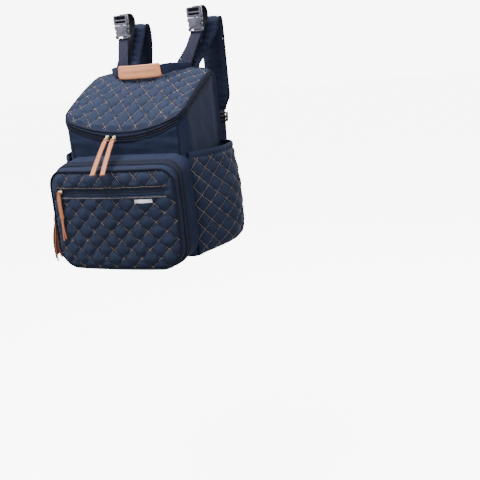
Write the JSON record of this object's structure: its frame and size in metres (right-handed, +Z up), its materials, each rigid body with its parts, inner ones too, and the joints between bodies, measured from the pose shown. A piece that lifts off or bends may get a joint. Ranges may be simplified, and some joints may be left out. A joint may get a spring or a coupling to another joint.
{
  "type": "diaper backpack",
  "caption": "Quilted diaper backpack with a hooded zip lid, a zip-open front pocket, side pockets, padded shoulder straps and buckled straps that hang it on a pushchair handlebar.",
  "frame": {"origin": "on the handlebar's axis, in the bag's middle plane", "axes": "+X to the right along the handlebar, seen from the bag's front; +Y to the back; +Z up"},
  "size_m": [0.4072, 0.3877, 0.5078],
  "materials": {
    "quilted_navy": "quilted twill with tan stitching",
    "plain_navy": "plain twill",
    "webbing_navy": "ribbed webbing",
    "zip_tape_navy": "zip tape with coil",
    "piping_navy": "corded edge",
    "lining": "plain lining",
    "mesh_pad": "spacer mesh",
    "stiffener": "board",
    "tan_leather": "smooth, stitched",
    "tassel_leather": "smooth",
    "buckle_plastic": "satin",
    "adjuster_plastic": "fine grain",
    "slider_metal": "pale polished",
    "label_fabric": "woven, blank"
  },
  "bodies": {
    "body": {"front_panel": "plain_navy", "side_panel_left": "plain_navy", "side_panel_right": "plain_navy", "back_panel": "plain_navy", "rear_band": "plain_navy", "base_panel": "plain_navy", "base_board": "stiffener", "main_lining": "lining", "inner_pocket": "lining", "back_pad": "mesh_pad", "body_zip_tape": "zip_tape_navy", "pocket_gusset_rear": "plain_navy", "pocket_zip_tape_rear": "zip_tape_navy", "side_pocket_left": "quilted_navy", "side_pocket_hem_left": "piping_navy", "shoulder_strap_left": "plain_navy", "strap_webbing_left": "webbing_navy", "strap_anchor_left": "plain_navy", "stroller_webbing_left": "webbing_navy", "stroller_loop_left": "webbing_navy", "buckle_socket_left": "buckle_plastic", "buckle_plug_left": "buckle_plastic", "side_pocket_right": "quilted_navy", "side_pocket_hem_right": "piping_navy", "shoulder_strap_right": "plain_navy", "strap_webbing_right": "webbing_navy", "strap_anchor_right": "plain_navy", "stroller_webbing_right": "webbing_navy", "stroller_loop_right": "webbing_navy", "buckle_socket_right": "buckle_plastic", "buckle_plug_right": "buckle_plastic"},
    "lid": {"lid_panel": "quilted_navy", "lid_lining": "lining", "lid_zip_tape": "zip_tape_navy"},
    "handle": {"handle_webbing": "plain_navy", "handle_grip": "tan_leather"},
    "flap": {"flap_gusset": "plain_navy", "flap_panel": "quilted_navy", "flap_piping": "piping_navy", "flap_lining": "lining", "flap_zip_tape": "zip_tape_navy", "front_zip_tape": "zip_tape_navy", "label": "label_fabric"},
    "lid_slider_left": {"lid_slider_left": "slider_metal"},
    "lid_pull_left": {"lid_pull_left": "tan_leather"},
    "lid_slider_right": {"lid_slider_right": "slider_metal"},
    "lid_pull_right": {"lid_pull_right": "tan_leather"},
    "face_slider": {"face_slider": "slider_metal"},
    "face_pull": {"face_pull": "tan_leather"},
    "pocket_slider_upper": {"pocket_slider_upper": "slider_metal"},
    "pocket_tassel_upper": {"pocket_tassel_upper": "tassel_leather"},
    "pocket_slider_lower": {"pocket_slider_lower": "slider_metal"},
    "pocket_tassel_lower": {"pocket_tassel_lower": "tassel_leather"},
    "adjuster_left": {"adjuster_left": "adjuster_plastic"},
    "adjuster_right": {"adjuster_right": "adjuster_plastic"},
    "buckle_prong_left_inner": {"buckle_prong_left_inner": "buckle_plastic"},
    "buckle_prong_left_outer": {"buckle_prong_left_outer": "buckle_plastic"},
    "buckle_prong_right_inner": {"buckle_prong_right_inner": "buckle_plastic"},
    "buckle_prong_right_outer": {"buckle_prong_right_outer": "buckle_plastic"}
  },
  "joints": [
    {"name": "lid_hinge", "type": "hinge", "parent": "body", "child": "lid", "pos_m": [0, -0.055, -0.098], "axis": [-1, 0, 0], "range_deg": [0, 85]},
    {"name": "handle_swing", "type": "hinge", "parent": "lid", "child": "handle", "pos_m": [0, -0.055, -0.098], "axis": [-1, 0, 0], "range_deg": [0, 20]},
    {"name": "flap_hinge", "type": "hinge", "parent": "body", "child": "flap", "pos_m": [0, -0.251, -0.487], "axis": [1, 0, 0], "range_deg": [0, 100]},
    {"name": "lid_slider_left_run", "type": "hinge", "parent": "body", "child": "lid_slider_left", "pos_m": [0, -0.205, 0.054], "axis": [0, 1, 0], "range_deg": [0, 18]},
    {"name": "lid_pull_left_swing", "type": "hinge", "parent": "lid_slider_left", "child": "lid_pull_left", "pos_m": [-0.036, -0.2155, -0.22973], "axis": [-1, 0, 0], "range_deg": [0, 60]},
    {"name": "lid_slider_right_run", "type": "hinge", "parent": "body", "child": "lid_slider_right", "pos_m": [0, -0.205, 0.054], "axis": [0, -1, 0], "range_deg": [0, 28]},
    {"name": "lid_pull_right_swing", "type": "hinge", "parent": "lid_slider_right", "child": "lid_pull_right", "pos_m": [-0.02, -0.2155, -0.2313], "axis": [-1, 0, 0], "range_deg": [0, 60]},
    {"name": "face_slider_run", "type": "hinge", "parent": "flap", "child": "face_slider", "pos_m": [0, 0.591, -0.326], "axis": [0, 0, 1], "range_deg": [0, 15.4]},
    {"name": "face_pull_swing", "type": "hinge", "parent": "face_slider", "child": "face_pull", "pos_m": [-0.11914, -0.28948, -0.326], "axis": [-0.991, 0.1341, 0], "range_deg": [0, 80]},
    {"name": "pocket_slider_upper_run", "type": "slide", "parent": "body", "child": "pocket_slider_upper", "axis": [0, 0, 1], "range_m": [0, 0.05]},
    {"name": "pocket_tassel_upper_swing", "type": "hinge", "parent": "pocket_slider_upper", "child": "pocket_tassel_upper", "pos_m": [-0.1539, -0.255, -0.363], "axis": [0, 1, 0], "range_deg": [0, 75]},
    {"name": "pocket_slider_lower_run", "type": "slide", "parent": "body", "child": "pocket_slider_lower", "axis": [0, 0, -1], "range_m": [0, 0.06]},
    {"name": "pocket_tassel_lower_swing", "type": "hinge", "parent": "pocket_slider_lower", "child": "pocket_tassel_lower", "pos_m": [-0.1539, -0.267, -0.381], "axis": [0, 1, 0], "range_deg": [0, 75]},
    {"name": "adjuster_left_slide", "type": "slide", "parent": "body", "child": "adjuster_left", "axis": [-0.0895, -0.2054, -0.9746], "range_m": [0, 0.05]},
    {"name": "adjuster_right_slide", "type": "slide", "parent": "body", "child": "adjuster_right", "axis": [0.0564, -0.2059, -0.9769], "range_m": [0, 0.05]},
    {"name": "buckle_prong_left_inner_press", "type": "hinge", "parent": "body", "child": "buckle_prong_left_inner", "pos_m": [-0.088, -0.023, -0.007], "axis": [0, -1, 0], "range_deg": [0, 7], "stiffness_Nm_per_rad": 0.05},
    {"name": "buckle_prong_left_outer_press", "type": "hinge", "parent": "body", "child": "buckle_prong_left_outer", "pos_m": [-0.068, -0.023, -0.007], "axis": [0, 1, 0], "range_deg": [0, 7], "stiffness_Nm_per_rad": 0.05},
    {"name": "buckle_prong_right_inner_press", "type": "hinge", "parent": "body", "child": "buckle_prong_right_inner", "pos_m": [0.094, -0.023, -0.007], "axis": [0, -1, 0], "range_deg": [0, 7], "stiffness_Nm_per_rad": 0.05},
    {"name": "buckle_prong_right_outer_press", "type": "hinge", "parent": "body", "child": "buckle_prong_right_outer", "pos_m": [0.114, -0.023, -0.007], "axis": [0, 1, 0], "range_deg": [0, 7], "stiffness_Nm_per_rad": 0.05}
  ]
}
